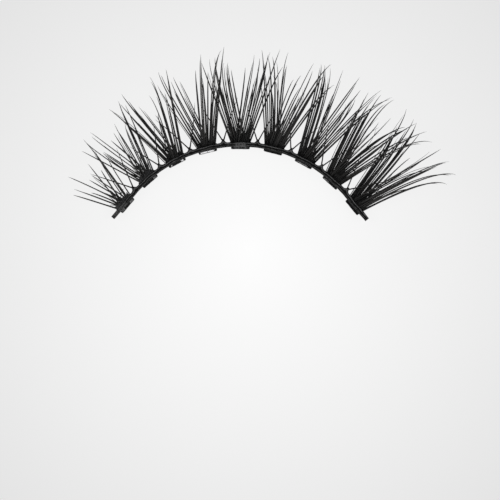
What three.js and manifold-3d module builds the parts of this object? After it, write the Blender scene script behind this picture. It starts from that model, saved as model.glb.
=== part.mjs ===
// Magnetic false eyelash strip: a thin arched band, nine bar magnets under it and nine lash clusters
// along its outer edge. Millimetres, lying as it rests on a table: +X runs to the outer corner of the
// eye, +Y to the lash tips and +Z up. The origin is the middle of the middle magnet's contact face.

import * as THREE from 'three';
import { mergeVertices } from 'three/addons/utils/BufferGeometryUtils.js';
import Module from 'manifold-3d';

const wasm = await Module();
wasm.setup();

// Band: a round arch with a straight tail at each end.
const bandRadius = 14.42; // middle line of the arch
const bandHalfArc = THREE.MathUtils.degToRad(50); // from the top of the arch to a tail
const tailLength = 3.4;
const bandWidth = 0.42;
const bandHeight = 0.45;
const bandEdge = 0.06; // rounding of the long edges
const bandSegments = 16; // half the steps along the arch

// Spacing of the magnets and clusters along the band.
const stations = 9;
const middleStation = 5;
const pitch = 3.5;
const seatGap = 0.03; // clearance between neighbouring pieces

// Magnets: flat bars that stand out on the inner side of the band.
const magnetLength = 1.95;
const magnetWidth = 0.66;
const magnetHeight = 0.5;
const magnetInset = 0.2; // middle of the magnet, inward of the band's middle line
const magnetCorner = 0.12;
const magnetEdge = 0.05;

// Glue knots on the band, half way between clusters.
const knotWidth = 0.9;
const knotReach = 0.38;
const knotPeak = 0.15; // width of its tip
const knotHollow = 0.08; // how close its hollow sides come to the band
const knotHeight = 0.3;
const knotEdge = 0.03;
const knotSunk = 0.1; // depth of the knot inside the band

// Cluster root: a flat pad of glue that flares where it meets the band.
const rootHalfWidth = 0.9;
const rootFlare = 0.1;
const rootLip = 0.14; // blunt edge of the flare
const rootNeck = 0.4; // where the flare has run out
const rootDepth = 0.5;
const rootCrown = 0.75; // bulge of the far edge
const rootHeight = 0.5;
const rootEdge = 0.05;
const rootSegments = 4; // steps along each curve of a root or knot

// Locks: tapered strands that start inside the root and curl upwards, one for each spike of lashes.
const lockSides = 4;
const lockSteps = 5;
const hairPitch = 0.1; // width that each hair adds to its lock
const lockMargin = 0.09; // width of a lock beyond its hairs
const lockHalfHeight = 0.075;
const lockTip = 0.14; // width of the tip as a share of the root's
const taperPower = 1.7;
const lockStart = 0.25; // where the lock begins, outward of the root's base
const startHalfWidth = 0.86; // where the outermost lock of a leaf begins, beside the root's middle
const innerShare = 0.5; // how far past the middle the innermost one begins, as a share of that
const bendShare = 0.7; // where along its reach a lock bends
const dropSlope = 0.13; // the lashes first dip, then curl up

// The two leaves of a cluster lie in two layers, so that neighbouring clusters cross without touching.
const layers = {
  left: { side: -1, lift: -0.12, curlRadius: 14 },
  right: { side: 1, lift: 0.12, curlRadius: 12 },
};

// Two rows for each cluster, from the inner corner of the eye to the outer one. A row lists the spikes of
// one leaf, from its outer side inwards. Aim is the direction of a spike's tip from its start, in degrees
// clockwise from +Y, reach its distance seen from above, and hairs how many lashes the spike gathers.
// The bows are how far, in degrees, the outermost and the innermost spike set off beside their aim.
const leafRows = [
  // cluster, layer, bowOuter, bowInner, spikes of aim, reach and hairs
  [1, 'left', 3, 1,
    [[-76, 4.6, 2], [-71, 4.8, 3], [-70, 3.1, 1], [-65, 6.0, 3], [-61, 4.0, 2], [-57, 4.1, 1]]],
  [1, 'right', -3, -1, [[-30, 4.3, 2], [-35, 6.7, 4], [-34, 3.8, 2], [-38, 5.2, 2]]],
  [2, 'left', 0, 1,
    [[-63, 6.6, 2], [-56, 7.2, 3], [-57, 4.8, 2], [-54, 6.8, 3], [-54, 7.2, 3], [-50, 5.1, 2]]],
  [2, 'right', -3, 0, [[-22, 7.2, 3], [-24, 7.9, 3], [-25, 5.6, 2], [-30, 6.2, 2], [-32, 5.5, 1]]],
  [3, 'left', 1, 0, [[-48, 7.8, 3], [-44, 7.5, 4], [-40, 8.3, 4], [-39, 6.3, 2]]],
  [3, 'right', 0, 0, [[-11, 8.6, 3], [-14, 6.4, 2], [-18, 8.4, 3], [-21, 6.7, 2], [-15, 4.8, 1]]],
  [4, 'left', 3, -1, [[-34, 7.5, 2], [-30, 8.7, 5], [-29, 7.3, 2], [-27, 7.7, 3], [-27, 7.1, 2]]],
  [4, 'right', 3, 1, [[6, 9.8, 5], [5, 9.5, 5], [-1, 7.2, 2], [-4, 6.8, 2], [-3, 9.2, 3], [-5, 7.7, 2]]],
  [5, 'left', 1, 3,
    [[-22, 8.5, 2], [-18, 8.7, 2], [-16, 8.8, 4], [-12, 8.1, 3], [-11, 8.1, 3], [-11, 7.4, 1]]],
  [5, 'right', 4, -1, [[25, 8.3, 1], [20, 9.9, 3], [16, 9.4, 3], [13, 8.6, 3], [10, 8.9, 3], [7, 7.5, 1]]],
  [6, 'left', -1, 2, [[-6, 6.7, 2], [-5, 9.6, 2], [-3, 8.9, 3], [-2, 9.0, 3], [-1, 8.5, 2], [5, 9.6, 3]]],
  [6, 'right', 1, 3, [[39, 8.2, 3], [31, 9.8, 6], [25, 8.4, 2], [24, 9.2, 2], [22, 7.6, 2], [19, 7.0, 1]]],
  [7, 'left', 2, -2, [[13, 9.4, 4], [14, 9.5, 4], [15, 9.4, 3], [22, 7.3, 1], [19, 9.7, 2]]],
  [7, 'right', 7, 1, [[50, 10.2, 3], [45, 10.0, 5], [38, 7.7, 3], [39, 8.8, 1], [36, 9.8, 2]]],
  [8, 'left', 1, 7, [[26, 9.1, 4], [30, 8.9, 4], [30, 9.6, 3], [34, 9.1, 1], [34, 10.0, 2]]],
  [8, 'right', 9, 0, [[65, 10.1, 3], [60, 10.2, 3], [54, 9.8, 6], [54, 8.8, 2], [44, 8.3, 2], [42, 7.2, 1]]],
  [9, 'left', -3, 1, [[31, 10.5, 6], [36, 10.1, 4], [37, 10.1, 2], [41, 9.5, 3], [45, 7.1, 2]]],
  [9, 'right', 10, -1, [[73, 8.9, 4], [71, 10.2, 3], [64, 8.8, 1], [66, 10.2, 5], [59, 10.1, 3]]],
];

// Heights of the stacked pieces.
const bandBase = magnetHeight + seatGap;
const rootMiddle = bandBase + bandHeight / 2;
const rootBase = bandWidth / 2 + seatGap; // outward of the band's middle line

// The centre of the arch, so that the middle magnet is over the origin.
const archCentreY = magnetInset - bandRadius;

const lashFinish = { color: 0x0e0e10, roughness: 0.5, metalness: 0 };
const bandFinish = { color: 0x151517, roughness: 0.55, metalness: 0 };
const magnetFinish = { color: 0x1d1d20, roughness: 0.35, metalness: 0.6 };

// A place on the band: along its middle line from the top of the arch, and outward from that line.
function bandPlace(along, outward) {
  const archLength = bandRadius * bandHalfArc;
  const onArch = THREE.MathUtils.clamp(along, -archLength, archLength);
  const onTail = along - onArch;
  const turn = onArch / bandRadius;
  const radius = bandRadius + outward;
  const x = radius * Math.sin(turn) + onTail * Math.cos(turn);
  const y = archCentreY + radius * Math.cos(turn) - onTail * Math.sin(turn);
  return { x, y, turn };
}

function stationAlong(station) {
  return (station - middleStation) * pitch;
}

// Joining: closed geometries in, one closed geometry out.
function toSolid(geometry) {
  const bare = geometry.clone();
  bare.deleteAttribute('normal');
  bare.deleteAttribute('uv');
  const merged = mergeVertices(bare);
  const vertProperties = new Float32Array(merged.attributes.position.array);
  const triVerts = new Uint32Array(merged.index.array);
  return new wasm.Manifold(new wasm.Mesh({ numProp: 3, vertProperties, triVerts }));
}

function join(geometries) {
  const [first, ...others] = geometries.map(toSolid);
  const joined = others.reduce((whole, solid) => whole.add(solid), first);
  const mesh = joined.getMesh();
  const geometry = new THREE.BufferGeometry();
  geometry.setAttribute('position', new THREE.BufferAttribute(mesh.vertProperties, 3));
  geometry.setIndex(new THREE.BufferAttribute(mesh.triVerts, 1));
  geometry.computeVertexNormals();
  return geometry;
}

// A plan outline raised to a flat slab with bevelled edges, centred on z = 0. The bevel stays inside
// the height.
function slab(outline, height, edge, curveSegments) {
  const geometry = new THREE.ExtrudeGeometry(outline, {
    depth: height - 2 * edge,
    bevelEnabled: true,
    bevelThickness: edge,
    bevelSize: edge,
    bevelOffset: -edge,
    bevelSegments: 1,
    curveSegments,
  });
  geometry.translate(0, 0, edge - height / 2);
  return geometry;
}

function named(name, geometry, finish) {
  const mesh = new THREE.Mesh(geometry, new THREE.MeshStandardMaterial(finish));
  mesh.name = name;
  return mesh;
}

function bandOutline() {
  const halfWidth = bandWidth / 2;
  const end = bandRadius * bandHalfArc + tailLength;
  const straightUp = Math.PI / 2;
  const leftAngle = straightUp + bandHalfArc;
  const rightAngle = straightUp - bandHalfArc;
  const outerStart = bandPlace(-end, halfWidth);
  const outerEnd = bandPlace(end, halfWidth);
  const innerStart = bandPlace(end, -halfWidth);
  const innerEnd = bandPlace(-end, -halfWidth);
  const outline = new THREE.Shape();
  outline.moveTo(innerEnd.x, innerEnd.y);
  outline.lineTo(outerStart.x, outerStart.y);
  outline.absarc(0, archCentreY, bandRadius + halfWidth, leftAngle, rightAngle, true);
  outline.lineTo(outerEnd.x, outerEnd.y);
  outline.lineTo(innerStart.x, innerStart.y);
  outline.absarc(0, archCentreY, bandRadius - halfWidth, rightAngle, leftAngle, false);
  outline.closePath();
  return outline;
}

// A glue knot: a small peak with hollow sides, its base sunk in the band.
function knotGeometry(along) {
  const half = knotWidth / 2;
  const peak = knotPeak / 2;
  const outline = new THREE.Shape();
  outline.moveTo(-half, -knotSunk);
  outline.lineTo(half, -knotSunk);
  outline.lineTo(half, 0);
  outline.quadraticCurveTo(peak, knotHollow, peak, knotReach);
  outline.lineTo(-peak, knotReach);
  outline.quadraticCurveTo(-peak, knotHollow, -half, 0);
  outline.closePath();
  const geometry = slab(outline, knotHeight, knotEdge, rootSegments);
  const { x, y, turn } = bandPlace(along, bandWidth / 2);
  geometry.rotateZ(-turn);
  geometry.translate(x, y, 0);
  return geometry;
}

function bandGeometry() {
  const pieces = [slab(bandOutline(), bandHeight, bandEdge, bandSegments)];
  for (let station = 1; station < stations; station += 1) {
    pieces.push(knotGeometry(stationAlong(station + 0.5)));
  }
  return join(pieces);
}

function magnetGeometry() {
  const halfLength = magnetLength / 2;
  const halfWidth = magnetWidth / 2;
  const outline = new THREE.Shape();
  outline.moveTo(magnetCorner - halfLength, -halfWidth);
  outline.lineTo(halfLength - magnetCorner, -halfWidth);
  outline.lineTo(halfLength, magnetCorner - halfWidth);
  outline.lineTo(halfLength, halfWidth - magnetCorner);
  outline.lineTo(halfLength - magnetCorner, halfWidth);
  outline.lineTo(magnetCorner - halfLength, halfWidth);
  outline.lineTo(-halfLength, halfWidth - magnetCorner);
  outline.lineTo(-halfLength, magnetCorner - halfWidth);
  outline.closePath();
  return slab(outline, magnetHeight, magnetEdge, 1);
}

// The glued root of a cluster, with its base along y = 0.
function rootGeometry() {
  const base = rootHalfWidth + rootFlare;
  const neck = rootHalfWidth - rootFlare / 2;
  const far = rootHalfWidth - rootFlare;
  const outline = new THREE.Shape();
  outline.moveTo(-base, 0);
  outline.lineTo(base, 0);
  outline.lineTo(base, rootLip);
  outline.quadraticCurveTo(rootHalfWidth, rootLip, neck, rootNeck);
  outline.lineTo(far, rootDepth);
  outline.quadraticCurveTo(0, rootDepth + 2 * rootCrown, -far, rootDepth);
  outline.lineTo(-neck, rootNeck);
  outline.quadraticCurveTo(-rootHalfWidth, rootLip, -base, rootLip);
  outline.closePath();
  return slab(outline, rootHeight, rootEdge, rootSegments);
}

// One lock: a four-sided strand bent along a plan curve and a circular curl, tapered to its tip.
function lockGeometry({ start, aim, reach, bow, hairs, layer }) {
  const bend = headingFrom(start, aim - bow, bendShare * reach / Math.cos(bow));
  const tip = headingFrom(start, aim, reach);
  const plan = new THREE.QuadraticBezierCurve(start, bend, tip);
  const halfWidth = (lockMargin + hairPitch * hairs) / 2;
  const heightAt = (run) => {
    const curl = layer.curlRadius - Math.sqrt(layer.curlRadius ** 2 - run ** 2);
    return layer.lift - dropSlope * run + curl;
  };
  const slopeAt = (run) => run / Math.sqrt(layer.curlRadius ** 2 - run ** 2) - dropSlope;

  const geometry = new THREE.CylinderGeometry(1, 1, 1, lockSides, lockSteps);
  const position = geometry.attributes.position;
  for (let i = 0; i < position.count; i += 1) {
    const share = position.getY(i) + 0.5;
    const centre = plan.getPoint(share);
    const heading = plan.getTangent(share);
    const run = centre.distanceTo(start);
    const along = new THREE.Vector3(heading.x, heading.y, slopeAt(run)).normalize();
    const across = new THREE.Vector3(heading.y, -heading.x, 0);
    const upright = new THREE.Vector3().crossVectors(across, along);
    const taper = lockTip + (1 - lockTip) * (1 - share ** taperPower);
    const place = new THREE.Vector3(centre.x, centre.y, heightAt(run))
      .addScaledVector(across, position.getX(i) * halfWidth * taper)
      .addScaledVector(upright, position.getZ(i) * lockHalfHeight * taper);
    position.setXYZ(i, place.x, place.y, place.z);
  }
  return geometry;
}

// The point a given distance from another, along an aim in radians clockwise from +Y.
function headingFrom(point, aim, distance) {
  return new THREE.Vector2(point.x + distance * Math.sin(aim), point.y + distance * Math.cos(aim));
}

// The locks of one leaf, in the cluster's own frame, which is turned to face outward from the band.
function leafGeometries(row, turn) {
  const [, layerName, bowOuter, bowInner, spikes] = row;
  const layer = layers[layerName];
  return spikes.map(([aim, reach, hairs], index) => {
    const share = index / (spikes.length - 1);
    const startX = layer.side * startHalfWidth * (1 - (1 + innerShare) * share);
    return lockGeometry({
      start: new THREE.Vector2(startX, lockStart),
      aim: THREE.MathUtils.degToRad(aim) - turn,
      reach,
      bow: THREE.MathUtils.degToRad(THREE.MathUtils.lerp(bowOuter, bowInner, share)),
      hairs,
      layer,
    });
  });
}

function clusterGeometry(station, turn) {
  const pieces = [rootGeometry()];
  for (const row of leafRows.filter(([cluster]) => cluster === station)) {
    pieces.push(...leafGeometries(row, turn));
  }
  return join(pieces);
}

const strip = new THREE.Group();

const band = named('band', bandGeometry(), bandFinish);
band.position.z = bandBase + bandHeight / 2;
strip.add(band);

for (let station = 1; station <= stations; station += 1) {
  const along = stationAlong(station);

  const magnet = named(`magnet_${station}`, magnetGeometry(), magnetFinish);
  const seat = bandPlace(along, -magnetInset);
  magnet.position.set(seat.x, seat.y, magnetHeight / 2);
  magnet.rotation.z = -seat.turn;
  strip.add(magnet);

  const root = bandPlace(along, rootBase);
  const cluster = named(`cluster_${station}`, clusterGeometry(station, root.turn), lashFinish);
  cluster.position.set(root.x, root.y, rootMiddle);
  cluster.rotation.z = -root.turn;
  strip.add(cluster);
}

export default strip;
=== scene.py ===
# %% [markdown]
# # A magnetic false eyelash strip
# The real strip is a thin black band shaped to the eyelid, with nine clusters of curled hairs glued along
# its outer edge and nine tiny bar magnets under it. Its solids are already packed at their real size.
# This lesson loads them as a fixed frame, then builds a finer piece in the place of each one, so nothing
# has to be fitted afterwards.

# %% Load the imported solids
import math

import bmesh
import bpy
import numpy as np
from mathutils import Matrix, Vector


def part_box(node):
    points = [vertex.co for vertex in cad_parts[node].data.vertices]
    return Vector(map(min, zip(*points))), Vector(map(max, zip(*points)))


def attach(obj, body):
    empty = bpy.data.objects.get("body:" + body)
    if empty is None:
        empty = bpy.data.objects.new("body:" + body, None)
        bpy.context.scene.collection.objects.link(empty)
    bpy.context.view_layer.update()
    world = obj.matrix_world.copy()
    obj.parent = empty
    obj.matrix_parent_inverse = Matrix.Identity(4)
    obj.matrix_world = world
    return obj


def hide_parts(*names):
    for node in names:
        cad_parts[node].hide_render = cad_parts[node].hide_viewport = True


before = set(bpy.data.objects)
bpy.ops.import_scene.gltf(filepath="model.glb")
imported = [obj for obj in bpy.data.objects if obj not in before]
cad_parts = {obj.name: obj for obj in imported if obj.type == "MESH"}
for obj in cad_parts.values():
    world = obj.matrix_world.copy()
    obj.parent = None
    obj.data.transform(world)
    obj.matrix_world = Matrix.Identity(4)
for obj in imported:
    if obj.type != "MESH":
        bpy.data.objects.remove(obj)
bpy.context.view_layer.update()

print("solids in the frame:", len(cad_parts))

# %% [markdown]
# ## The line that everything follows
# Band, magnets and clusters all sit on one line: a round arch that ends in two straight tails. It could be
# a curve object with the pieces held on it by constraints. A short function is easier to follow here,
# because it turns any distance along the band into a place and a direction. The print compares the
# magnets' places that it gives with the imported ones.

# %% The line of the band
MM = 0.001
BAND_RADIUS = 14.42
BAND_HALF_ARC = math.radians(50)
TAIL_LENGTH = 3.4
STATIONS = range(1, 10)
MIDDLE_STATION = 5
PITCH = 3.5
MAGNET_INSET = 0.2
ARCH_CENTRE_Y = MAGNET_INSET - BAND_RADIUS


def band_place(along, outward):
    """x, y and turn, in mm and radians, of a place along the band's middle line and outward from it."""
    arch_length = BAND_RADIUS * BAND_HALF_ARC
    on_arch = np.clip(along, -arch_length, arch_length)
    on_tail = along - on_arch
    turn = on_arch / BAND_RADIUS
    x = (BAND_RADIUS + outward) * np.sin(turn) + on_tail * np.cos(turn)
    y = ARCH_CENTRE_Y + (BAND_RADIUS + outward) * np.cos(turn) - on_tail * np.sin(turn)
    return x, y, turn


def station_along(station):
    return (station - MIDDLE_STATION) * PITCH


def set_on_band(points, along, outward):
    """Moves points from a piece's own frame, x along the band and y outward, to their place on it."""
    x, y, turn = band_place(along, outward)
    moved = points.copy()
    moved[..., 0] = x + points[..., 0] * np.cos(turn) + points[..., 1] * np.sin(turn)
    moved[..., 1] = y - points[..., 0] * np.sin(turn) + points[..., 1] * np.cos(turn)
    return moved


for station in STATIONS:
    low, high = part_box(f"magnet_{station}")
    x, y, turn = band_place(station_along(station), -MAGNET_INSET)
    middle = (low + high) / (2 * MM)
    print(f"magnet {station}: off by {math.hypot(middle.x - x, middle.y - y):.4f} mm")

# %% [markdown]
# ## Shader sums in Python
# A finish is a net of nodes, and most of its nodes only add or multiply. Placing them by hand in the
# editor is slow to repeat, so a small class wraps a socket and turns `0.3 + 0.1 * noise` into Math nodes.
# Every other node comes from one method, which sets the node's settings first and its sockets next.


# %% A socket that takes part in sums
class Wire:
    """The output of a node, used as a number in a Python sum."""

    def __init__(self, net, socket):
        self.net = net
        self.socket = socket

    def maths(self, operation, first, second):
        return self.net.node("ShaderNodeMath", {"operation": operation}, {0: first, 1: second})

    def __add__(self, other):
        return self.maths("ADD", self, other)

    def __radd__(self, other):
        return self.maths("ADD", other, self)

    def __sub__(self, other):
        return self.maths("SUBTRACT", self, other)

    def __rsub__(self, other):
        return self.maths("SUBTRACT", other, self)

    def __mul__(self, other):
        return self.maths("MULTIPLY", self, other)

    def __rmul__(self, other):
        return self.maths("MULTIPLY", other, self)


print("a wire can be added, subtracted and multiplied from either side")

# %% [markdown]
# ## Nets of nodes
# A material or a sky is a tree of nodes. In the editor a node is added, set up and linked by hand, and here
# one method does all three, so that a whole finish is a few lines to read. A finish is a net with its own
# material, and it holds what several of this strip's surfaces share: marks, noise, masks, mixes and bumps.


# %% A net of nodes, and a finish made with one
class Net:
    """A node tree whose nodes are added one call at a time."""

    def __init__(self, tree):
        self.tree = tree

    def node(self, kind, settings=None, sockets=None, output=0):
        """Adds a node, sets it up, fills its sockets and gives one of its outputs."""
        made = self.tree.nodes.new(kind)
        for setting, value in (settings or {}).items():
            if setting == "stops":
                self.set_stops(made.color_ramp, value)
            else:
                setattr(made, setting, value)
        self.fill(made, sockets or {})
        return Wire(self, made.outputs[output])

    def set_stops(self, ramp, stops):
        """Gives a ramp, which starts with two stops, its greys as pairs of place and brightness."""
        for number, (place, grey) in enumerate(stops):
            stop = ramp.elements[number] if number < 2 else ramp.elements.new(place)
            stop.position = place
            stop.color = (grey, grey, grey, 1)

    def fill(self, made, sockets):
        for socket, value in sockets.items():
            if isinstance(value, Wire):
                self.tree.links.new(value.socket, made.inputs[socket])
            else:
                made.inputs[socket].default_value = value


class Finish(Net):
    """A material, with the few nets of nodes that its surfaces share."""

    def __init__(self, name):
        self.material = bpy.data.materials.new(name)
        self.material.use_nodes = True
        super().__init__(self.material.node_tree)
        self.shader = self.tree.nodes["Principled BSDF"]

    def mark(self, name):
        """A number that the mesh carries at each of its points."""
        return self.node("ShaderNodeAttribute", {"attribute_name": name}, output="Fac")

    def noise(self, size, detail):
        """Noise from 0 to 1 whose blotches are about a size in mm across."""
        place = self.node("ShaderNodeTexCoord", output="Object")
        sockets = {"Vector": place, "Scale": 1 / (size * MM), "Detail": detail}
        return self.node("ShaderNodeTexNoise", {}, sockets, "Fac")

    def mask(self, value, low, high):
        """0 where the value is under low, 1 where it is over high, with a soft step between."""
        sockets = {"Value": value, "From Min": low, "From Max": high}
        return self.node("ShaderNodeMapRange", {"interpolation_type": "SMOOTHSTEP"}, sockets)

    def mix(self, factor, first, second):
        """A mix of two colours, which are sockets 6 and 7 of a Mix node and come out at its output 2."""
        return self.node("ShaderNodeMix", {"data_type": "RGBA"}, {0: factor, 6: first, 7: second}, 2)

    def bump(self, height, depth):
        """A normal that makes the height look as deep as a depth in mm."""
        return self.node("ShaderNodeBump", {}, {"Height": height, "Distance": depth * MM})

    def surface(self, sockets):
        self.fill(self.shader, sockets)
        print(self.material.name, "has", len(self.tree.nodes), "nodes")


print("a finish has marks, noise, masks, mixes and bumps")

# %% [markdown]
# ## The hairs' finish
# The hairs are black plastic fibre, glossy enough to show a thin grey line of light along each one. A
# hair shader would do for a head of hair, but these hairs are modelled as solid strands, so an ordinary
# dielectric is right. Each hair carries its own tint, which makes some a little paler and duller; the pale
# end of the tint is partly painted sheen, a lighter grey on whole hairs that stands in for their lines of
# light. The glued roots are blacker and smoother, and on some clusters the glue has dried to a grey film.

# %% Lash fibre
FIBRE_BLACK = (0.012, 0.012, 0.0125, 1)
# the pale tint: a tone that differs from hair to hair, and partly painted sheen
FIBRE_PALE_AND_SHEEN = (0.095, 0.092, 0.089, 1)
GLUE_BLACK = (0.003, 0.003, 0.0032, 1)
GLUE_FILM = (0.07, 0.07, 0.072, 1)

lash = Finish("lash_fibre")
tint_and_sheen = lash.mark("tint_and_sheen")
glue = lash.mark("glue")
scuff = lash.noise(size=0.12, detail=3)
dried = lash.mask(lash.mark("film") + lash.noise(size=0.2, detail=4), low=0.6, high=1.5)
# paler hairs are partly painted sheen
fibre = lash.mix(tint_and_sheen, FIBRE_BLACK, FIBRE_PALE_AND_SHEEN)
lash.surface({
    "Base Color": lash.mix(dried, lash.mix(glue, fibre, GLUE_BLACK), GLUE_FILM),
    "Roughness": 0.26 + 0.12 * scuff + 0.10 * tint_and_sheen - 0.06 * glue,
    "Normal": lash.bump(scuff, depth=0.012),
    "Specular IOR Level": 0.28,
})

# %% [markdown]
# ## The band's finish
# The band is a doubled black thread stiffened with glue: satin, with fine cross ribs where the thread's
# turns show through, and greyed along the tops of its two threads, the outer one most, partly by rubbing and
# partly by a painted highlight. The ribs are far too small to model, so they are bump, a sine of the
# distance along the band that the mesh carries as a mark. Two more marks say how much grey, rubbing and
# painted highlight, a thread gets and where the glue has a dusty film.

# %% Band thread
RIB_PITCH = 0.11
THREAD_BLACK = (0.004, 0.004, 0.0042, 1)
# grey of the thread tops: painted highlight, partly rubbing
THREAD_RUBBED_AND_HIGHLIT = (0.22, 0.22, 0.222, 1)

band = Finish("band_thread")
rib_wave = band.mark("along") * (2 * math.pi / RIB_PITCH)
rib = band.node("ShaderNodeMath", {"operation": "SINE"}, {0: rib_wave})
film = band.noise(size=0.35, detail=4)
dust = band.noise(size=0.09, detail=3)
# painted highlight along the thread tops, partly rubbing, broken up by the glue's film
thread_rubbed_and_highlit = band.mask(band.mark("rubbed_and_highlit") + 0.7 * film, low=0.9, high=1.4)
dusty = band.mask(band.mark("dusty") + dust, low=0.85, high=1.25)
greyed = thread_rubbed_and_highlit.maths("MAXIMUM", thread_rubbed_and_highlit, dusty)
band.surface({
    "Base Color": band.mix(greyed, THREAD_BLACK, THREAD_RUBBED_AND_HIGHLIT),
    "Roughness": 0.34 + 0.20 * film,
    "Normal": band.bump(0.15 * rib + film, depth=0.012),
    "Specular IOR Level": 0.26,
})

# %% [markdown]
# ## The magnets' finish
# Each magnet is a pressed bar with a thin black coating. Handling rubs the coating grey in blotches, and
# part of that grey is painted highlight; on some bars the chamfer of the inner edge is worn to bright metal.
# Two marks on the mesh say how grey and how bare a place is, so one finish serves all nine bars and each of
# them still looks different.

# %% Magnet coating
COAT_BLACK = (0.008, 0.008, 0.0085, 1)
# grey of the rubbed coating, partly painted highlight
COAT_RUBBED_AND_HIGHLIT = (0.5, 0.5, 0.505, 1)
BARE_METAL = (0.88, 0.88, 0.89, 1)

magnet = Finish("magnet_coating")
blotch = magnet.noise(size=0.28, detail=5)
grit = magnet.noise(size=0.06, detail=3)
# grey blotches on the faces: rubbed coating and painted highlight
coat_rubbing_and_highlight = 0.6 * blotch + 0.4 * grit + magnet.mark("worn_and_highlit")
rubbed_and_highlit = magnet.mask(coat_rubbing_and_highlight, low=0.9, high=1.25)
bare = magnet.mask(magnet.mark("bare") + 0.3 * grit, low=0.45, high=0.85)
coat = magnet.mix(rubbed_and_highlit, COAT_BLACK, COAT_RUBBED_AND_HIGHLIT)
magnet.surface({
    "Base Color": magnet.mix(bare, coat, BARE_METAL),
    "Metallic": 0.9 * bare,
    "Roughness": 0.36 + 0.2 * rubbed_and_highlit + 0.1 * grit - 0.1 * bare,
    "Normal": magnet.bump(blotch + 0.5 * grit, depth=0.015),
    "Specular IOR Level": 0.28,
})

# %% [markdown]
# ## Strands and lofts
# A hair could be a curve with a bevel, but a few hundred curves are slow to edit and export. One array of
# centre lines gives all the rings of points at once, and lofting the rings makes closed tubes that join
# into one mesh. The band and the magnets are lofts of rings too, so they share the same face builder.


# %% Tubes from rings of points
def loft(rings):
    """Faces of closed tubes with a cap at each end. rings[tube, ring, place round it] are point numbers."""
    here, there = rings[:, :-1], rings[:, 1:]
    walls = np.stack([here, np.roll(here, -1, 2), np.roll(there, -1, 2), there], axis=-1)
    return walls.reshape(-1, 4).tolist() + rings[:, 0].tolist() + rings[:, -1].tolist()


STRAND_SIDES = 8


def strands(lines, radii):
    """Points and faces of round tubes along lines[hair, step], with radii[hair, step], in mm."""
    ahead = np.gradient(lines, axis=1)
    ahead /= np.linalg.norm(ahead, axis=2, keepdims=True)
    across = np.cross(ahead, [0.0, 0.0, 1.0])
    across /= np.linalg.norm(across, axis=2, keepdims=True)
    upright = np.cross(across, ahead)
    angle = np.arange(STRAND_SIDES) * 2 * math.pi / STRAND_SIDES
    spokes = np.cos(angle)[:, None] * across[:, :, None] + np.sin(angle)[:, None] * upright[:, :, None]
    points = lines[:, :, None] + radii[:, :, None, None] * spokes
    numbers = np.arange(points[..., 0].size).reshape(points.shape[:3])
    return points.reshape(-1, 3), loft(numbers)


print("a strand has", STRAND_SIDES, "sides")

# %% [markdown]
# ## From points to a piece
# Every piece is made the same way: its points and faces become a mesh, its marks become attributes that the
# finish can read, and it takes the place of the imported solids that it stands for. Calling the mesh
# functions directly needs no selection or mode, unlike the operators behind Blender's buttons.


# %% A piece with its marks, finish and place
def add_piece(name, points, faces, marks, finish, slot, *nodes):
    """Makes a smooth mesh from points in mm, with its marks, finish and place in the frame."""
    mesh = bpy.data.meshes.new(name)
    mesh.from_pydata((points * MM).tolist(), [], faces)
    for mark, values in marks.items():
        mesh.attributes.new(mark, "FLOAT", "POINT").data.foreach_set("value", values)
    whole = bmesh.new()
    whole.from_mesh(mesh)
    bmesh.ops.recalc_face_normals(whole, faces=whole.faces)
    whole.to_mesh(mesh)
    whole.free()
    mesh.shade_smooth()
    mesh.materials.append(finish.material)
    piece = bpy.data.objects.new(name, mesh)
    bpy.context.scene.collection.objects.link(piece)
    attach(piece, "root")
    if nodes:
        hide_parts(*nodes)
    print(name, "has", len(mesh.polygons), "faces")


print("pieces ride on the root body, which is the whole strip")

# %% [markdown]
# ## The lashes
# A cluster is two leaves of hairs that lean apart and cross their neighbours, one leaf in a lower layer
# and one in an upper. In each leaf the hairs gather into pointed spikes. A particle system would scatter
# them evenly and lose the spikes, so a short table lists every spike: its aim in degrees clockwise from
# +Y, its reach in mm and how many hairs it gathers. The bows are the degrees by which the outermost and the
# innermost spike of a leaf set off beside their aim, which gives the hairs their sideways curve.

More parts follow.
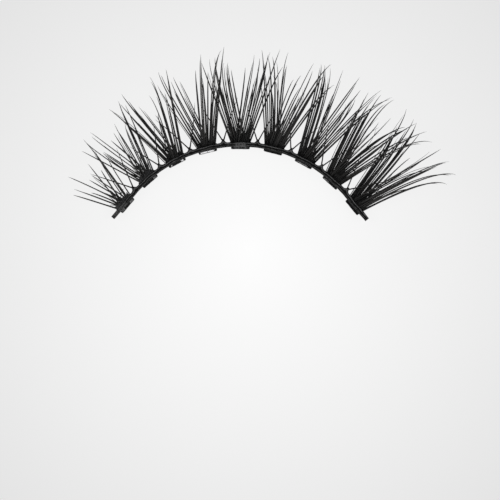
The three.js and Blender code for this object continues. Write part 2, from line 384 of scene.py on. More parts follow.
# %% The spikes of every leaf
LEAVES = [
    # cluster, layer, bow outer, bow inner, spikes of aim, reach and hairs from the outer side inwards
    (1, "left", -1, 1,
     [(-76, 4.6, 1), (-71, 4.8, 2), (-70, 3.1, 2), (-65, 6.0, 2), (-61, 4.0, 1), (-57, 4.1, 1)]),
    (1, "right", 1, -1, [(-30, 4.3, 1), (-35, 6.7, 3), (-34, 3.8, 2), (-38, 5.2, 1)]),
    (2, "left", 0, 1,
     [(-63, 6.6, 1), (-56, 7.2, 2), (-57, 4.8, 3), (-54, 6.8, 2), (-54, 7.2, 2), (-50, 5.1, 2)]),
    (2, "right", -1, 0, [(-22, 7.2, 3), (-24, 7.9, 4), (-25, 5.6, 3), (-30, 6.2, 3), (-32, 5.5, 2)]),
    (3, "left", 0, 0, [(-48, 7.8, 3), (-44, 7.5, 4), (-40, 8.3, 4), (-39, 6.3, 3)]),
    (3, "right", -1, 4, [(-11, 8.6, 4), (-14, 6.4, 4), (-18, 8.4, 3), (-21, 6.7, 3), (-15, 4.8, 1)]),
    (4, "left", 3, -1, [(-34, 7.5, 2), (-30, 8.7, 4), (-29, 7.3, 3), (-27, 7.7, 3), (-27, 7.1, 1)]),
    (4, "right", 2, 1,
     [(6, 9.8, 5), (5, 9.5, 4), (-1, 7.2, 1), (-4, 6.8, 2), (-3, 9.2, 3), (-5, 7.7, 1)]),
    (5, "left", 1, 3,
     [(-22, 8.5, 2), (-18, 8.7, 2), (-16, 8.8, 4), (-12, 8.1, 3), (-11, 8.1, 3), (-11, 7.4, 2)]),
    (5, "right", 4, -1,
     [(25, 8.3, 1), (20, 9.9, 3), (16, 9.4, 3), (13, 8.6, 3), (10, 8.9, 3), (7, 7.5, 2)]),
    (6, "left", -1, 2,
     [(-6, 6.7, 2), (-5, 9.6, 3), (-3, 8.9, 3), (-2, 9.0, 3), (-1, 8.5, 2), (5, 9.6, 3)]),
    (6, "right", 3, 3,
     [(39, 8.2, 4), (31, 9.8, 5), (25, 8.4, 4), (24, 9.2, 3), (22, 7.6, 2), (19, 7.0, 2)]),
    (7, "left", -2, -2, [(13, 9.4, 4), (14, 9.5, 6), (15, 9.4, 4), (22, 7.3, 2), (19, 9.7, 3)]),
    (7, "right", 5, 1, [(50, 10.2, 4), (45, 10.0, 4), (38, 7.7, 4), (39, 8.8, 3), (36, 9.8, 3)]),
    (8, "left", 3, 9, [(26, 9.1, 6), (30, 8.9, 5), (30, 9.6, 4), (34, 9.1, 3), (34, 10.0, 2)]),
    (8, "right", 9, -2,
     [(65, 10.1, 4), (60, 10.2, 4), (54, 9.8, 6), (54, 8.8, 3), (44, 8.3, 2), (42, 7.2, 1)]),
    (9, "left", -3, 3, [(31, 10.5, 7), (36, 10.1, 5), (37, 10.1, 3), (41, 9.5, 3), (45, 7.1, 2)]),
    (9, "right", 12, -1, [(73, 8.9, 3), (71, 10.2, 3), (64, 8.8, 1), (66, 10.2, 5), (59, 10.1, 3)]),
]
spike_count = sum(len(spikes) for *_, spikes in LEAVES)
hair_count = sum(hairs for *_, spikes in LEAVES for *_, hairs in spikes)
print(len(LEAVES), "leaves,", spike_count, "spikes,", hair_count, "hairs")

# %% [markdown]
# ## One hair
# Seen from above a hair is a gentle bend, and seen from the side it dips at the root and then curls up on
# a circle. Three places in plan, its root, middle and tip, settle the bend. The fibre is drawn out to a
# long fine point, so the radius stays nearly full for most of the length and then falls away, and a coat of
# glue makes the root a little thicker. Hair curves could be combed into this shape by hand, but a formula
# gives every hair the same make and the same result on each run.

# %% The line and thickness of a hair
MAGNET_HEIGHT = 0.5
BAND_WIDTH = 0.42
BAND_HEIGHT = 0.45
SEAT_GAP = 0.03
BAND_MIDDLE = MAGNET_HEIGHT + SEAT_GAP + BAND_HEIGHT / 2
ROOT_BASE = BAND_WIDTH / 2 + SEAT_GAP
LAYERS = {
    "left": {"side": -1, "lift": -0.12, "curl_radius": 14.0},
    "right": {"side": 1, "lift": 0.12, "curl_radius": 12.0},
}
DROP_SLOPE = 0.13
SETTLE_RUN = 0.4
SETTLE_SHARE = 0.3
LOCK_START = 0.2
ROOT_SUNK = 0.05
HAIR_STEPS = 17
HAIR_RADIUS = 0.063
HAIR_GROWTH = 0.001
TIP_RADIUS = 0.006
TAPER_POWER = 3.4
GLUE_COAT = 0.014
GLUE_SHARE = 0.16
TIP_BEND = 3.0
hair_share = np.linspace(0, 1, HAIR_STEPS)


def heading(aim):
    return np.array([math.sin(aim), math.cos(aim)])


def hair_line(root, middle, tip, lift, curl_radius):
    """A hair's line through three places in plan, in its cluster's own frame, raised by its curl."""
    share = hair_share[:, None]
    bulge = (share - share**TIP_BEND) / (0.5 - 0.5**TIP_BEND)
    plan = root + (tip - root) * share + (middle - (root + tip) / 2) * bulge
    run = np.clip(np.linalg.norm(plan - root, axis=1) - LOCK_START - ROOT_SUNK, 0, None)
    settled = lift * (1 - SETTLE_SHARE * np.exp(-((run / SETTLE_RUN) ** 2)))
    curl = curl_radius - np.sqrt(curl_radius**2 - run**2)
    return np.column_stack([plan, BAND_MIDDLE + settled - DROP_SLOPE * run + curl])


def hair_radii(root_radius):
    bare = TIP_RADIUS + (root_radius - TIP_RADIUS) * (1 - hair_share**TAPER_POWER)
    return bare + GLUE_COAT * np.exp(-((hair_share / GLUE_SHARE) ** 2))


first_thickness = round(2 * (HAIR_RADIUS + HAIR_GROWTH), 3)
print("the hairs of the first cluster are about", first_thickness, "mm thick")

# %% [markdown]
# ## Spikes in their leaf
# The spikes of a leaf start side by side along the root of their cluster and end at the tips that the table
# gives, with one bend on the way. A Bezier curve needs only three places for that: it starts at the first,
# leans towards the second and ends at the third. It could be a curve object, but only numbers are needed.

# %% The line of every spike
START_HALF_WIDTH = 0.92
INNER_SHARE = 0.5
BEND_SHARE = 0.7


def bezier(start, bend, end, share):
    return (1 - share) ** 2 * start + 2 * share * (1 - share) * bend + share**2 * end


def leaf_spikes(row, turn):
    """The start, bend and tip of every spike in a leaf, in its cluster's own frame."""
    _, layer_name, bow_outer, bow_inner, spikes = row
    side = LAYERS[layer_name]["side"]
    found = []
    for index, (aim, reach, _) in enumerate(spikes):
        share = index / (len(spikes) - 1)
        start = np.array([side * START_HALF_WIDTH * (1 - (1 + INNER_SHARE) * share), LOCK_START])
        bow = math.radians(bow_outer + (bow_inner - bow_outer) * share)
        aim = math.radians(aim) - turn
        bend = start + BEND_SHARE * reach / math.cos(bow) * heading(aim - bow)
        found.append((start, bend, start + reach * heading(aim)))
    return found


print("the spikes of a leaf start over", round((1 + INNER_SHARE) * START_HALF_WIDTH, 2), "mm of the band")

# %% [markdown]
# ## A hair in its leaf
# The hairs leave the band side by side and fan out, and towards their tips they lean together into spikes.
# So each hair gets a place in the fan of its whole leaf for its root, a place in its own spike for its tip,
# and a middle between the two. The fans are more even towards the outer corner, where the leaves are
# fuller. Chance adds the small differences, and it is seeded, so that every run gives the same strip.

# %% A leaf that takes hairs one by one
EVEN_SHARE = 0.38
EVEN_GROWTH = 0.065
ROOT_JITTER = 0.025
LIFT_RANGE = (-0.03, 0.03)
CURL_RANGE = (0.97, 1.04)
SEED = 3
chance = np.random.default_rng(SEED)


class Leaf:
    """One leaf of a cluster, in its cluster's own frame, with the lines and radii of its hairs."""

    def __init__(self, row, turn):
        self.station, layer_name, _, _, self.table = row
        self.layer = LAYERS[layer_name]
        self.spikes = leaf_spikes(row, turn)
        self.even_share = EVEN_SHARE + EVEN_GROWTH * self.station
        mean_aim = np.mean([math.radians(aim) - turn for aim, _, _ in self.table])
        self.sideways = heading(mean_aim + math.pi / 2)
        self.lines = []
        self.radii = []

    def add_hair(self, spike, fan_share, length, beside, away, radius):
        """Adds a hair of a share of its spike's length, beside the spike and away from the other leaf."""
        outer, inner = self.spikes[0], self.spikes[-1]
        across = outer[0][0] + (inner[0][0] - outer[0][0]) * fan_share
        root = np.array([across, -ROOT_SUNK]) + chance.normal(0, ROOT_JITTER, 2)
        tip = bezier(*spike, length) + self.sideways * beside
        middle = bezier(*spike, length / 2)
        rim = [bezier(*edge, length / 2) @ self.sideways for edge in (outer, inner)]
        even = rim[0] + (rim[1] - rim[0]) * fan_share
        middle = middle + self.sideways * self.even_share * (even - middle @ self.sideways)
        lift = self.layer["lift"] + self.layer["side"] * away + chance.uniform(*LIFT_RANGE)
        curl_radius = self.layer["curl_radius"] * chance.uniform(*CURL_RANGE)
        self.lines.append(hair_line(root, middle, tip, lift, curl_radius))
        self.radii.append(hair_radii(radius))


evenness = [round(EVEN_SHARE + EVEN_GROWTH * station, 3) for station in STATIONS]
print("evenness from the first cluster to the last:", evenness)

# %% [markdown]
# ## Gathering hairs into spikes
# One hair of a spike has the full length and the rest stop short of it. Up to half of a spike's hairs lie
# close to another one, on the side away from the cluster's other leaf, which makes some lines bolder. Copies
# of one hair would be quicker, but equal hairs look like a comb, so length, place and thickness all vary.

# %% The hairs of the spikes
SHOWING_SHARE = 0.5
FAN_JITTER = 0.12
PAIR_GAP = 0.1
PAIR_FAN_JITTER = 0.04
PAIR_TIP_JITTER = 0.015
TIP_SPACING = 0.07
TIP_JITTER = 0.05
STOP_SHORT = (0.5, 0.95)
RADIUS_RANGE = (0.7, 1.3)


def add_spike_hairs(leaf):
    columns = [math.ceil(SHOWING_SHARE * hairs) for _, _, hairs in leaf.table]
    places = np.arange(sum(columns)) + chance.normal(0, FAN_JITTER, sum(columns))
    full_radius = HAIR_RADIUS + HAIR_GROWTH * leaf.station
    column_before = 0
    for spike, count, (_, _, hairs) in zip(leaf.spikes, columns, leaf.table):
        longest = chance.integers(hairs)
        tip_places = (np.arange(count) - (count - 1) / 2) * TIP_SPACING
        tip_places = tip_places + chance.normal(0, TIP_JITTER, count)
        for hair in range(hairs):
            behind, column = divmod(hair, count)
            beside_pair = chance.normal(0, PAIR_FAN_JITTER) * behind
            fan_share = (places[column_before + column] + beside_pair) / (sum(columns) - 1)
            length = 1.0 if hair == longest else chance.uniform(*STOP_SHORT)
            beside = tip_places[column] + chance.normal(0, PAIR_TIP_JITTER)
            radius = full_radius * chance.uniform(*RADIUS_RANGE)
            leaf.add_hair(spike, fan_share, length, beside, PAIR_GAP * behind, radius)
        column_before += count


paired = sum(hairs - math.ceil(SHOWING_SHARE * hairs) for *_, spikes in LEAVES for *_, hairs in spikes)
print(paired, "hairs lie close to another one")

# %% [markdown]
# ## Short hairs and wisps
# To every four hairs comes one that was cut short near the root, and every leaf has one to four fine wisps,
# more of them towards the outer corner. They soften the clean fan. Hairs drawn in a texture would be
# enough from far away, but from the side they would lie flat, so these are strands like all the others.

# %% Short hairs, wisps and the whole leaf
HAIRS_PER_SHORT = 4
SHORT_LENGTH = (0.1, 0.3)
SHORT_RADIUS = 0.045
STATIONS_PER_WISP = 3
WISP_FAN_JITTER = 0.12
WISP_LENGTH = (0.6, 0.95)
WISP_SPREAD = 0.15
WISP_RADIUS = 0.03


def add_short_hairs(leaf):
    count = sum(hairs for _, _, hairs in leaf.table) // HAIRS_PER_SHORT
    for short in range(count):
        spike = leaf.spikes[short * len(leaf.spikes) // count]
        fan_share = (short + chance.uniform(0, 1)) / count
        leaf.add_hair(spike, fan_share, chance.uniform(*SHORT_LENGTH), 0, PAIR_GAP, SHORT_RADIUS)


def add_wisps(leaf):
    for _ in range(1 + leaf.station // STATIONS_PER_WISP):
        number = chance.integers(len(leaf.spikes))
        fan_share = number / (len(leaf.spikes) - 1) + chance.normal(0, WISP_FAN_JITTER)
        beside = chance.normal(0, WISP_SPREAD)
        leaf.add_hair(leaf.spikes[number], fan_share, chance.uniform(*WISP_LENGTH), beside, 0, WISP_RADIUS)


def full_leaf(row, turn):
    leaf = Leaf(row, turn)
    add_spike_hairs(leaf)
    add_short_hairs(leaf)
    add_wisps(leaf)
    return leaf


wisp_count = sum(1 + row[0] // STATIONS_PER_WISP for row in LEAVES)
print("about", hair_count // HAIRS_PER_SHORT, "short hairs and", wisp_count, "wisps are added")

# %% [markdown]
# ## The glued roots
# Where its hairs meet the band, a cluster is set in a little pad of black glue. It widens into the band at
# its base, and it reaches furthest in the middle, where the two leaves cross. A box would look like a
# block, so the pad is a pillow: two curved sheets that share their rim, with a ragged far edge and ridges
# where hairs lie under the glue. It is thin enough for the upper leaf to stand out of it. A table says how
# far the crown of each pad reaches and how many short ends of hair stand in it.

# %% A root pad
PAD_HALF_WIDTH = 0.9
PAD_FILLET = 0.2
PAD_SUNK = 0.12
PAD_SIDE = 0.26
CROWNS = {
    # station: how far the pad reaches, and its short ends of hair
    1: (0.40, 5),
    2: (0.60, 9),
    3: (0.60, 8),
    4: (0.62, 7),
    5: (0.85, 13),
    6: (0.95, 14),
    7: (0.80, 9),
    8: (0.90, 12),
    9: (0.88, 9),
}
PAD_CROWN_POWER = 1.2
PAD_RAGGED = 0.05
PAD_RAGGED_WAVES = (11, 23)
PAD_HALF_HEIGHT = 0.14
PAD_EDGE_HALF_HEIGHT = 0.05
PAD_RIDGE_DEPTH = 0.015
PAD_RIDGE_WAVES = (23, 37)
PAD_RIDGE_SLANT = 2
PAD_SIDE_POWER = 8
PAD_END_POWER = 10


def pillow(x, y, half_height):
    """Points and faces of two sheets, over and under the grid of x and y, that share their rim."""
    rows, columns = x.shape
    upper = np.arange(rows * columns).reshape(rows, columns)
    lower = upper.copy()
    inside = (slice(1, -1), slice(1, -1))
    lower[inside] = rows * columns + np.arange((rows - 2) * (columns - 2)).reshape(rows - 2, columns - 2)
    above = np.stack([x, y, BAND_MIDDLE + half_height], axis=-1)
    below = np.stack([x, y, BAND_MIDDLE - half_height], axis=-1)
    faces = []
    for sheet in (upper, lower):
        corners = [sheet[:-1, :-1], sheet[:-1, 1:], sheet[1:, 1:], sheet[1:, :-1]]
        faces += np.stack(corners, axis=-1).reshape(-1, 4).tolist()
    return np.concatenate([above.reshape(-1, 3), below[inside].reshape(-1, 3)]), faces


def root_pad(station, lean_left, lean_right, rows=17, columns=81):
    """A pad in its cluster's own frame, whose sides lean with the outermost hairs."""
    across = np.linspace(-1, 1, columns)[None, :]
    share = np.linspace(0, 1, rows)[:, None]
    phase = chance.uniform(0, 2 * math.pi, 4)
    ragged = np.sin(PAD_RAGGED_WAVES[0] * across + phase[0])
    ragged = ragged + np.sin(PAD_RAGGED_WAVES[1] * across + phase[1])
    crown, _ = CROWNS[station]
    peak = (1 - np.abs(across)) ** PAD_CROWN_POWER
    far_edge = PAD_SIDE + (crown - PAD_SIDE) * peak + PAD_RAGGED * ragged
    y = -PAD_SUNK + share * (far_edge + PAD_SUNK)
    above_band = np.clip(y, 0, None)
    into_fillet = PAD_FILLET - np.clip(above_band, 0, PAD_FILLET)
    fillet = PAD_FILLET - np.sqrt(PAD_FILLET**2 - into_fillet**2)
    lean = np.where(across < 0, math.tan(lean_left), math.tan(lean_right))
    x = across * (PAD_HALF_WIDTH + fillet + lean * above_band)
    fall = PAD_HALF_HEIGHT + (PAD_EDGE_HALF_HEIGHT - PAD_HALF_HEIGHT) * share
    slanted = PAD_RIDGE_WAVES[0] * across + phase[2] + PAD_RIDGE_SLANT * share
    ridge = np.sin(slanted) + np.sin(PAD_RIDGE_WAVES[1] * across + phase[3])
    side_rounding = 1 - np.abs(across) ** PAD_SIDE_POWER
    end_rounding = 1 - np.abs(2 * share - 1) ** PAD_END_POWER
    rounding = np.sqrt(side_rounding * end_rounding)
    return pillow(x, y, (fall + PAD_RIDGE_DEPTH * share * ridge) * rounding)


print("the pads reach up to", max(reach for reach, _ in CROWNS.values()), "mm out of the band")

# %% [markdown]
# ## Short ends in the crown
# In the V between its leaves a cluster shows cut ends of hair that stand out of the glue and make its crown
# dark and ragged. They could be drawn into the far edge of the pad, but single strands keep the tiny gaps
# of light between them.

# %% Short ends of hair
CROWN_HALF_WIDTH = 0.6
CROWN_SPREAD = math.radians(24)
CROWN_REACH = (0.9, 2.2)
CROWN_RADIUS = (0.04, 0.06)


def crown_hairs(station):
    """Lines and radii of the short ends between a cluster's leaves, in its own frame."""
    lines = []
    radii = []
    _, hairs = CROWNS[station]
    for _ in range(hairs):
        root = np.array([chance.uniform(-CROWN_HALF_WIDTH, CROWN_HALF_WIDTH), -ROOT_SUNK])
        aim = chance.uniform(-CROWN_SPREAD, CROWN_SPREAD)
        tip = root + chance.uniform(*CROWN_REACH) * heading(aim)
        layer = LAYERS["left" if aim < 0 else "right"]
        lines.append(hair_line(root, (root + tip) / 2, tip, layer["lift"], layer["curl_radius"]))
        radii.append(hair_radii(chance.uniform(*CROWN_RADIUS)))
    return lines, radii


print("the crowns have", sum(hairs for _, hairs in CROWNS.values()), "short ends of hair")

# %% [markdown]
# ## Nine clusters
# Each cluster is one mesh: its pad and all its hairs. Separate hairs would be hundreds of objects to keep
# in step, and one mesh can take the place of the imported cluster at the same station. The marks go with the
# points: the tint, whose pale end is partly painted sheen, is drawn once for each hair, `glue` is 1 on the
# pad and fades out along the first part of every hair, and `film` is how much grey the glue of the cluster
# has dried to.

# %% Build the clusters
DRIED_FILM = {1: 0.9, 2: 0.8, 3: 0.35, 4: 0.25}


def add_cluster(station):
    _, _, turn = band_place(station_along(station), ROOT_BASE)
    rows = [row for row in LEAVES if row[0] == station]
    lines, radii = crown_hairs(station)
    for row in rows:
        leaf = full_leaf(row, turn)
        lines += leaf.lines
        radii += leaf.radii
    leans = [abs(math.radians(spikes[0][0]) - turn) for *_, spikes in rows]
    pad_points, pad_faces = root_pad(station, *leans)
    hair_points, hair_faces = strands(np.array(lines), np.array(radii))
    points = np.concatenate([pad_points, hair_points])
    faces = pad_faces + [[number + len(pad_points) for number in face] for face in hair_faces]
    per_hair = len(hair_points) // len(lines)
    glue_fade = np.clip(1 - hair_share / GLUE_SHARE, 0, 1)
    # a tint for each hair, whose pale end is partly painted sheen
    hair_tint_and_sheen = np.repeat(chance.uniform(0, 1, len(lines)), per_hair)
    hair_glue = np.tile(np.repeat(glue_fade, per_hair // HAIR_STEPS), len(lines))
    marks = {
        "tint_and_sheen": np.concatenate([np.zeros(len(pad_points)), hair_tint_and_sheen]),
        "glue": np.concatenate([np.ones(len(pad_points)), hair_glue]),
    }
    marks["film"] = DRIED_FILM.get(station, 0) * marks["glue"]
    points = set_on_band(points, station_along(station), ROOT_BASE)
    add_piece(f"lash_cluster_{station}", points, faces, marks, lash, "lash", f"cluster_{station}")


for station in STATIONS:
    add_cluster(station)

# %% [markdown]
# ## The band
# The band is a doubled thread with small glue knots between the clusters. It could be a bevelled curve, but
# the knots would then be separate lumps pushed into it. Here one rounded section with two low ridges on
# its top is swept along the line of the band, and its outer side is drawn out where a knot stands, so band
# and knots are one skin. The first step is the section, a rectangle with round corners.

# %% A rounded section
CORNER_STEPS = 8


def rounded_bar(length, width, corner, count):
    """Points of a rounded rectangle about the origin, evenly spaced anticlockwise."""
    quarter = np.linspace(0, math.pi / 2, CORNER_STEPS)
    arcs = []
    for turns, (right, up) in enumerate([(1, 1), (-1, 1), (-1, -1), (1, -1)]):
        angle = quarter + turns * math.pi / 2
        x = right * (length / 2 - corner) + corner * np.cos(angle)
        y = up * (width / 2 - corner) + corner * np.sin(angle)
        arcs.append(np.column_stack([x, y]))
    outline = np.concatenate(arcs + [arcs[0][:1]])
    run = np.concatenate([[0], np.cumsum(np.linalg.norm(np.diff(outline, axis=0), axis=1))])
    even = np.linspace(0, run[-1], count, endpoint=False)
    return np.column_stack([np.interp(even, run, outline[:, 0]), np.interp(even, run, outline[:, 1])])


BAND_CORNER = 0.12
SECTION_POINTS = 44
section = rounded_bar(BAND_WIDTH, BAND_HEIGHT, BAND_CORNER, SECTION_POINTS)
print("the band's section has", len(section), "points")

# %% [markdown]
# ## The shape along the band
# The band gets a little wider towards the outer corner, its two tabs are narrower, and its edges wander as
# the glue left them. A modifier could add noise to a clean sweep, but sums of sines from two short tables
# say how large each unevenness is. A column of places along the band and a row of places round its
# section give all the points of the skin at once.

# %% Width, knots and wander along the band
BAND_STEP = 0.05
BAND_SPREAD = 1.2
BAND_SPREAD_GROWTH = 0.1
BAND_SHIFT = -0.025
BAND_SHIFT_GROWTH = 0.03
TAB_LENGTH = 1.2
TAB_NARROWING = 0.18
KNOT_HALF_WIDTH = 0.45
KNOT_PEAK = 0.05
KNOT_POWER = 2.4
UNEVEN_WAVES = [
    # height, radians for each mm, start
    (0.03, 2.3, 0),
    (0.02, 5.9, 1),
]
WANDER_WAVES = [
    # height, radians for each mm, start
    (0.02, 1.7, 0),
    (0.015, 4.3, 2),
]


def waves(along, table):
    return sum(height * np.sin(pace * along + start) for height, pace, start in table)


band_end = BAND_RADIUS * BAND_HALF_ARC + TAIL_LENGTH
along = np.linspace(-band_end, band_end, round(2 * band_end / BAND_STEP))[:, None]
tab = np.clip((np.abs(along) - band_end) / TAB_LENGTH + 1, 0, 1)
spread = BAND_SPREAD + BAND_SPREAD_GROWTH * along / band_end - TAB_NARROWING * tab
spread = spread + waves(along, UNEVEN_WAVES)
shift = BAND_SHIFT + BAND_SHIFT_GROWTH * along / band_end
wander = waves(along, WANDER_WAVES)
knot_places = [station_along(station + 0.5) for station in list(STATIONS)[:-1]]
knot = np.zeros_like(along)
for knot_place in knot_places:
    slope = np.clip((np.abs(along - knot_place) - KNOT_PEAK) / (KNOT_HALF_WIDTH - KNOT_PEAK), 0, 1)
    knot = knot + (1 - slope) ** KNOT_POWER
print("the band is", round(2 * band_end, 1), "mm long and has", len(knot_places), "knots")

# %% [markdown]
# ## The skin of the band
# The two threads show as two low ridges on top, the outer one greyed most by rubbing and a painted
# highlight, and the glue has a dusty film in two places. All of it is in the points and their marks,
# because a texture would first need the band unwrapped.

# %% Sweep the band
KNOT_REACH = 0.4
KNOT_THIN = 0.35
THREAD_HALF_SPACING = 0.1
THREAD_RISE = 0.035
THREAD_FROM = 0.9
# the inner thread gets less of the painted highlight and rubbing
INNER_RUBBING_AND_HIGHLIGHT = 0.85
DUSTY = [
    # place along the band, half length, strength
    (0.0, 0.9, 0.6),
    (-14.8, 1.6, 0.5),
]

side, rise = section[:, 0], section[:, 1]
lip = np.clip(2 * side / BAND_WIDTH, 0, 1)
outward = side * spread + shift + KNOT_REACH * knot * lip
on_top = rise > THREAD_FROM * BAND_HEIGHT / 2
thread = np.sin(math.pi / 2 * (side - wander) / THREAD_HALF_SPACING) ** 2 * on_top
# painted highlight and rubbing along the thread tops, less on the inner thread
thread_rubbing_and_highlight = thread * np.where(side < wander, INNER_RUBBING_AND_HIGHLIGHT, 1)
height = BAND_MIDDLE + rise * (1 - KNOT_THIN * knot * lip) + THREAD_RISE * (thread - 1) * (rise > 0)
x, y, _ = band_place(along, outward)
band_points = np.stack([x, y, height], axis=-1)
band_rings = np.arange(x.size).reshape(1, *x.shape)
dusty_place = np.zeros_like(height)
for dusty_middle, half_length, strength in DUSTY:
    fade = np.clip(2 - 2 * np.abs(along - dusty_middle) / half_length, 0, 1)
    dusty_place = dusty_place + strength * fade * (rise > 0)
band_marks = {
    "along": np.repeat(along[:, 0], SECTION_POINTS),
    "rubbed_and_highlit": thread_rubbing_and_highlight.ravel(),
    "dusty": dusty_place.ravel(),
}
add_piece("band_ribbon", band_points.reshape(-1, 3), loft(band_rings), band_marks, band, "band", "band")

# %% [markdown]
# ## Hairs between the clusters
# From every knot two single hairs leave in a V and run into the leaves on either side. They are thin bare
# strands with no solid of their own in the frame, so they ride on it without replacing anything. They
# could belong to a cluster's mesh, but each pair springs from its own knot, so it is a piece of its own.

# %% Build the crossing hairs
KNOT_HAIR_START = (0.04, 0.2)
KNOT_AIM = math.radians(25)
KNOT_AIM_RANGE = (0.9, 1.15)
KNOT_HAIR_REACH = 4.2
KNOT_REACH_RANGE = (0.85, 1.15)
KNOT_MIDDLE_JITTER = 0.04
KNOT_HAIR_RADIUS = 0.06
# tint of the crossing hairs, partly painted sheen
KNOT_HAIR_TINT_AND_SHEEN = 0.3


def add_crossing_hairs(number, knot_place):
    lines = []
    for layer in LAYERS.values():
        start = np.array([layer["side"] * KNOT_HAIR_START[0], KNOT_HAIR_START[1]])
        aim = layer["side"] * KNOT_AIM * chance.uniform(*KNOT_AIM_RANGE)
        tip = start + heading(aim) * KNOT_HAIR_REACH * chance.uniform(*KNOT_REACH_RANGE)
        middle = (start + tip) / 2 + chance.normal(0, KNOT_MIDDLE_JITTER, 2)
        lines.append(hair_line(start, middle, tip, layer["lift"], layer["curl_radius"]))
    radii = [hair_radii(KNOT_HAIR_RADIUS)] * len(lines)
    points, faces = strands(np.array(lines), np.array(radii))
    points = set_on_band(points, knot_place, BAND_WIDTH / 2)
    marks = {
        "tint_and_sheen": np.full(len(points), KNOT_HAIR_TINT_AND_SHEEN),
        "glue": np.zeros(len(points)),
        "film": np.zeros(len(points)),
    }
    add_piece(f"crossing_hairs_{number}", points, faces, marks, lash, "lash")


for number, knot_place in enumerate(knot_places, 1):
    add_crossing_hairs(number, knot_place)

# %% [markdown]
# ## The magnets
# A magnet is a small bar with rounded corners and edges, and a broad chamfer along its inner edge. A cube
# with a bevel would be too perfect, so the bar is a loft of outlines that are drawn in towards the middle
# of both faces, with a slight swell from the coating.

# %% The points of a bar
MAGNET_LENGTH = 1.95
MAGNET_WIDTH = 0.66
MAGNET_CORNER = 0.12
SMALLEST_CORNER = 0.01
MAGNET_EDGE = 0.05
EDGE_TURNS = (0, 30, 60, 90)
FACE_INSETS = (0.3, 0.08)
FACE_RINGS = 7
CHAMFER_START = -0.13
CHAMFER_SLOPE = math.tan(math.radians(20))
OUTLINE_POINTS = 96
SIDE_SWELL = 0.012
SIDE_WAVES = (9, 21)
TOP_SWELL = 0.006
TOP_WAVES = 18

edge_turn = np.radians(EDGE_TURNS)
edge_insets = MAGNET_EDGE * (1 - np.sin(edge_turn))
edge_heights = MAGNET_EDGE * (1 - np.cos(edge_turn))
face_insets = np.linspace(*FACE_INSETS, FACE_RINGS)
insets = np.concatenate([face_insets, edge_insets, edge_insets[::-1], face_insets[::-1]])
heights = np.concatenate([0 * face_insets, edge_heights])
heights = np.concatenate([heights, MAGNET_HEIGHT - heights[::-1]])


def bar_points():
    """Points of one bar, ring by ring from the middle of its lower face to the middle of its upper."""
    swell = chance.uniform(0, 2 * math.pi, 3)
    rings = []
    for inset, height in zip(insets, heights):
        corner = max(MAGNET_CORNER - inset, SMALLEST_CORNER)
        ring = rounded_bar(MAGNET_LENGTH - 2 * inset, MAGNET_WIDTH - 2 * inset, corner, OUTLINE_POINTS)
        share = ring[:, 0] / MAGNET_LENGTH
        lumps = np.sin(SIDE_WAVES[0] * share + swell[0]) + np.sin(SIDE_WAVES[1] * share + swell[1])
        level = np.full(OUTLINE_POINTS, height)
        if height > MAGNET_HEIGHT / 2:
            level -= CHAMFER_SLOPE * np.clip(CHAMFER_START - ring[:, 1], 0, None)
            level += TOP_SWELL * (np.sin(TOP_WAVES * share + swell[2]) - 1)
        rings.append(np.column_stack([ring[:, 0], ring[:, 1] * (1 + SIDE_SWELL * lumps), level]))
    return np.concatenate(rings)


print("a bar is a loft of", len(insets), "outlines")

# %% [markdown]
# ## The wear and painted highlights of the magnets
# Handling has worn every bar in its own places, and part of the grey on a bar's face is painted highlight.
# Painting nine textures would tie this to nine images, so the points carry it as marks: a short table says
# which stretches of a bar's face are greyed, partly by wear and partly as painted highlight, and where its
# chamfer is bare or scratched in a thin line.

# %% Build the magnets
SCRATCH_MIDDLE = -0.23
SCRATCH_HALF_WIDTH = 0.03
WEAR_AND_HIGHLIGHT_FADE = 0.12
WEAR_AND_HIGHLIGHTS = [
    # magnet, kind of mark, how strong it is, and where it starts and ends along the bar; the worn grey is
    # partly painted highlight
    (1, "worn_and_highlit", 0.60, -0.95, -0.35),
    (1, "worn_and_highlit", 0.30, -0.35, 0.30),
    (1, "worn_and_highlit", 0.60, 0.30, 0.95),
    (2, "worn_and_highlit", 0.65, 0.35, 0.90),
    (2, "worn_and_highlit", 0.25, -0.80, 0.35),
    (3, "bare", 0.65, -0.80, -0.50),
    (3, "bare", 0.85, 0.38, 0.80),
    (4, "bare", 0.80, -0.88, 0.75),
    (5, "worn_and_highlit", 0.50, -0.80, 0.88),
    (6, "worn_and_highlit", 0.15, -0.80, 0.80),
    (7, "scratch", 1.00, -0.80, 0.55),
    (8, "scratch", 1.00, -0.85, -0.05),
    (8, "worn_and_highlit", 0.40, 0.20, 0.60),
    (9, "worn_and_highlit", 0.20, -0.60, 0.60),
]


def add_magnet(station):
    points = bar_points()
    inset = np.repeat(insets, OUTLINE_POINTS)
    on_top = (points[:, 2] > MAGNET_HEIGHT / 2) & (inset >= MAGNET_EDGE)
    places = {
        "worn_and_highlit": on_top,
        "bare": on_top & (points[:, 1] < CHAMFER_START),
        "scratch": on_top & (np.abs(points[:, 1] - SCRATCH_MIDDLE) < SCRATCH_HALF_WIDTH),
    }
    marks = {"worn_and_highlit": np.zeros(len(points)), "bare": np.zeros(len(points))}
    for worn_station, kind, strength, start, end in WEAR_AND_HIGHLIGHTS:
        if worn_station == station:
            into = np.clip((points[:, 0] - start) / WEAR_AND_HIGHLIGHT_FADE, 0, 1)
            before = np.clip((end - points[:, 0]) / WEAR_AND_HIGHLIGHT_FADE, 0, 1)
            mark = "worn_and_highlit" if kind == "worn_and_highlit" else "bare"
            marks[mark] += strength * into * before * places[kind]
    points = set_on_band(points, station_along(station), -MAGNET_INSET)
    numbers = np.arange(len(points)).reshape(1, len(insets), OUTLINE_POINTS)
    add_piece(f"magnet_bar_{station}", points, loft(numbers), marks, magnet, "magnet", f"magnet_{station}")


for station in STATIONS:
    add_magnet(station)

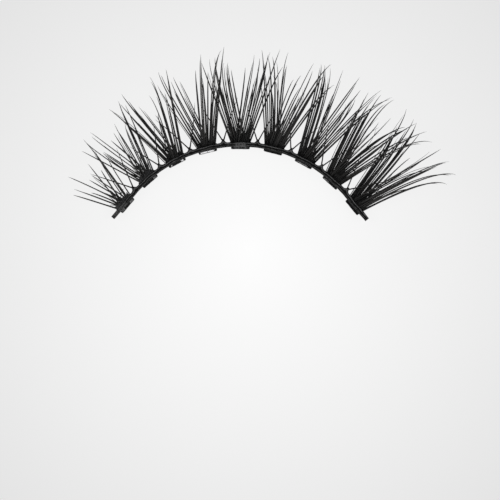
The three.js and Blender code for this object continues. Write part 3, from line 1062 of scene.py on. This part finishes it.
# %% [markdown]
# ## The ground
# The strip lies on a pale ground that is brightest in the middle of the view and falls off gently to its
# edges. Lighting alone could do that, but it would also throw the strip's shadow, and this ground shows
# none. So the ground glows by itself and only a part of its light comes from the lamps.

# %% Pale ground
VIEW_MIDDLE = (1.09, -10.80)
GROUND_SIZE = 3.0
GROUND_GAP = 0.01
GROUND_GREY = (0.16, 0.16, 0.16, 1)
GROUND_GLOW = 0.93
GLOW_FALL_PER_METRE = 6.2
GLOW_DARKEST = 0.5

ground = Finish("pale_ground")
place = ground.node("ShaderNodeTexCoord", output="Object")
view_middle = (VIEW_MIDDLE[0] * MM, VIEW_MIDDLE[1] * MM, 0)
sockets = {0: place, 1: view_middle}
distance = ground.node("ShaderNodeVectorMath", {"operation": "DISTANCE"}, sockets, "Value")
falling = 1 - GLOW_FALL_PER_METRE * distance
glow = falling.maths("MAXIMUM", falling, GLOW_DARKEST)
ground.surface({
    "Base Color": GROUND_GREY,
    "Roughness": 0.9,
    "Specular IOR Level": 0.0,
    "Emission Color": glow,
    "Emission Strength": GROUND_GLOW,
})
half = GROUND_SIZE / 2
corners = [(-half, -half), (half, -half), (half, half), (-half, half)]
ground_mesh = bpy.data.meshes.new("ground")
ground_mesh.from_pydata([(*corner, -GROUND_GAP * MM) for corner in corners], [], [(0, 1, 2, 3)])
ground_mesh.materials.append(ground.material)
ground_piece = bpy.data.objects.new("ground", ground_mesh)
bpy.context.scene.collection.objects.link(ground_piece)
print("ground is", GROUND_SIZE, "m across")

# %% [markdown]
# ## Light
# Black fibre shows its shape only through what it reflects. The studio is a sky that is pale near the
# horizon and dark straight above: the flat, glued roots mirror the dark top and stay black, while every
# round hair turns a part of its side to the pale ring and gets a grey line. A ramp over the sky's height
# makes the ring in one step. A soft lamp on each side adds to the grey lines, and one in front adds glints
# on the magnets.

# %% Sky and lamps
SKY = [
    # height above the horizon, brightness
    (0.0, 0.5),
    (0.12, 0.45),
    (0.3, 0.14),
    (0.8, 0.10),
    (1.0, 0.05),
]
LAMPS = [
    # name, place in metres, size in metres, power in watts
    ("lamp_left", (-0.45, 0.05, 0.40), 0.40, 0.55),
    ("lamp_right", (0.45, 0.05, 0.40), 0.40, 0.55),
    ("lamp_front", (0.14, -0.36, 0.46), 0.30, 0.33),
]

world = bpy.data.worlds.new("studio")
world.use_nodes = True
bpy.context.scene.world = world
sky = Net(world.node_tree)
direction = sky.node("ShaderNodeTexCoord", output="Generated")
rise = sky.node("ShaderNodeSeparateXYZ", {}, {0: direction}, "Z")
ring = sky.node("ShaderNodeValToRGB", {"stops": SKY}, {0: rise}, "Color")
sky.fill(world.node_tree.nodes["Background"], {"Color": ring})


def add_lamp(name, place, size, power):
    lamp = bpy.data.lights.new(name, "AREA")
    lamp.shape = "DISK"
    lamp.size = size
    lamp.energy = power
    lamp_object = bpy.data.objects.new(name, lamp)
    lamp_object.location = place
    aim = -lamp_object.location.normalized()
    lamp_object.rotation_euler = aim.to_track_quat("-Z", "Y").to_euler()
    lamp_object.visible_camera = False
    bpy.context.scene.collection.objects.link(lamp_object)
    print(name, "gives", power, "W")


for lamp_row in LAMPS:
    add_lamp(*lamp_row)
bpy.context.scene.view_settings.view_transform = "Standard"

# %% [markdown]
# ## Camera
# The strip is seen from straight above. A short lens would make the tall tips look larger than the low
# band, so the camera has a long one and stands far away. The strip lies turned by half a degree, which the
# camera's own turn gives.

# %% Camera
LENS = 400
SENSOR = 36
VIEW_WIDTH = 52.0
VIEW_TURN = math.radians(0.5)

camera = bpy.data.cameras.new("camera")
camera.lens = LENS
camera.sensor_width = SENSOR
camera_object = bpy.data.objects.new("camera", camera)
camera_object.location = (view_middle[0], view_middle[1], VIEW_WIDTH * MM * LENS / SENSOR)
camera_object.rotation_euler = (0, 0, VIEW_TURN)
bpy.context.scene.collection.objects.link(camera_object)
bpy.context.scene.camera = camera_object
print("camera is", round(camera_object.location.z, 3), "m above the ground")
